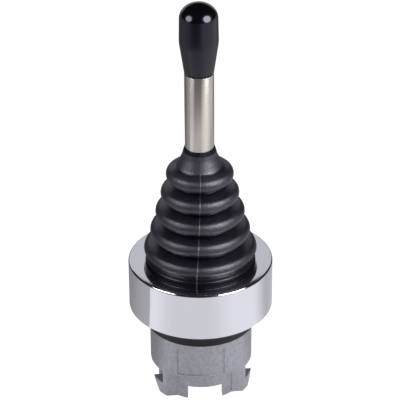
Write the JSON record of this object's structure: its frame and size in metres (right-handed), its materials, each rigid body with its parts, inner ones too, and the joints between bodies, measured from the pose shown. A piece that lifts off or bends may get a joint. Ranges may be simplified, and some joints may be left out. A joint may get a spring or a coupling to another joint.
{
  "type": "joystick operator head",
  "caption": "Panel-mount joystick head: sprung lever with black knob and rubber bellows, chromed bezel, panel gasket and die-cast bayonet body with plungers.",
  "frame": {"origin": "on the axis of the panel hole, on the panel's front face, where the gasket's flange seats", "axes": "+Z along the lever, out of the panel towards the user; -Y is the body's front, with the nameplate recess; the lever swings towards +X and -X"},
  "size_m": [0.0292, 0.0292, 0.085],
  "materials": {
    "zinc_casting": "raw zinc die-casting",
    "chrome_plate": "bright chrome plate",
    "gasket_rubber": "smooth nitrile",
    "boot_rubber": "satin moulded neoprene",
    "zinc_plated_steel": "bright zinc plate",
    "ground_steel": "ground stainless steel",
    "cradle_acetal": "moulded acetal",
    "plunger_acetal": "moulded acetal",
    "bronze": "sintered bronze",
    "brass": "turned brass",
    "spring_steel": "bright spring steel",
    "knob_plastic": "satin phenolic"
  },
  "bodies": {
    "housing": {"body": "zinc_casting", "bezel": "chrome_plate", "panel_gasket": "gasket_rubber", "boot": "boot_rubber", "boot_clamp_ring": "zinc_plated_steel", "gate_plate": "zinc_plated_steel", "gate_dowels": "ground_steel", "cradle": "cradle_acetal", "pivot_pin": "ground_steel", "thrust_washers": "zinc_plated_steel", "return_spring_left": "spring_steel", "return_spring_right": "spring_steel"},
    "lever": {"lever_rod": "ground_steel", "knob": "knob_plastic", "knob_insert": "brass", "rocker": "zinc_casting", "rocker_bush": "bronze", "rod_pin": "spring_steel"},
    "left_plunger": {"plunger_left": "plunger_acetal", "plunger_clip_left": "spring_steel"},
    "right_plunger": {"plunger_right": "plunger_acetal", "plunger_clip_right": "spring_steel"}
  },
  "joints": [
    {"name": "lever_tilt", "type": "hinge", "parent": "housing", "child": "lever", "pos_m": [0, 0, -0.0036], "axis": [0, 1, 0], "range_deg": [-20, 20], "stiffness_Nm_per_rad": 0.6, "deforming": ["boot"]},
    {"name": "left_plunger_slide", "type": "slide", "parent": "housing", "child": "left_plunger", "axis": [0, 0, 1], "range_m": [-0.0018, 0.0018], "deforming": ["return_spring_left"]},
    {"name": "right_plunger_slide", "type": "slide", "parent": "housing", "child": "right_plunger", "axis": [0, 0, 1], "range_m": [-0.0018, 0.0018], "deforming": ["return_spring_right"]}
  ],
  "couplings": [
    {"joint": "left_plunger_slide", "follows": "lever_tilt", "m_per_rad": 0.00515},
    {"joint": "right_plunger_slide", "follows": "lever_tilt", "m_per_rad": -0.00515}
  ]
}
